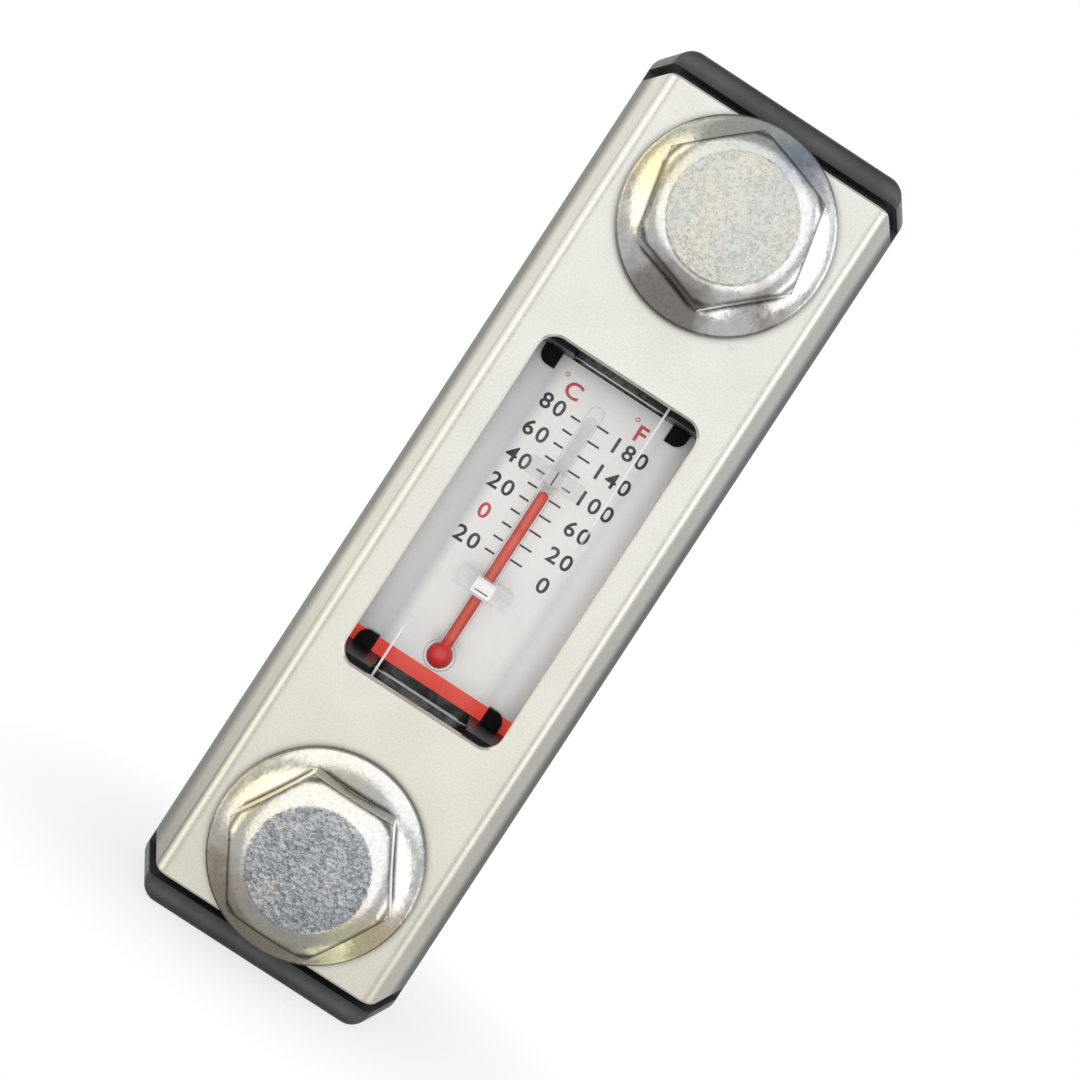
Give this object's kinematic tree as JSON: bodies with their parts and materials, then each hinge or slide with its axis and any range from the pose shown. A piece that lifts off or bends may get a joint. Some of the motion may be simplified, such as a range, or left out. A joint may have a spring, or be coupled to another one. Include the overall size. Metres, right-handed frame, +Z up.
{
  "type": "tank level gauge",
  "caption": "Oil level gauge with a built-in thermometer: a clear tube and scale behind a windowed metal cover, held by two hollow bolts.",
  "frame": {"origin": "on the tank wall's surface, midway between the two bolts", "axes": "+X to the right seen from the front, +Y into the tank along the bolts, +Z up along the gauge"},
  "size_m": [0.0336, 0.0433, 0.109],
  "materials": {
    "cover": "satin anodised sheet",
    "block": "black moulded nylon, slight sheen",
    "clear_tube": "clear acrylic",
    "plate": "silver-grey plate with printed scales",
    "thin_glass": "clear glass",
    "red_liquid": "red thermometer liquid",
    "clear_collar": "clear soft plastic",
    "zinc": "bright zinc plate with faint yellow and blue tints",
    "seal": "black rubber"
  },
  "bodies": {
    "root": {"front_cover": "cover", "upper_end_block": "block", "lower_end_block": "block", "sight_tube": "clear_tube", "scale_plate": "plate", "thermometer_glass": "thin_glass", "thermometer_liquid": "red_liquid", "upper_thermometer_collar": "clear_collar", "lower_thermometer_collar": "clear_collar", "upper_hollow_bolt": "zinc", "lower_hollow_bolt": "zinc", "upper_head_seal": "seal", "lower_head_seal": "seal", "upper_wall_seal": "seal", "lower_wall_seal": "seal", "upper_tube_seal": "seal", "lower_tube_seal": "seal"}
  },
  "joints": []
}
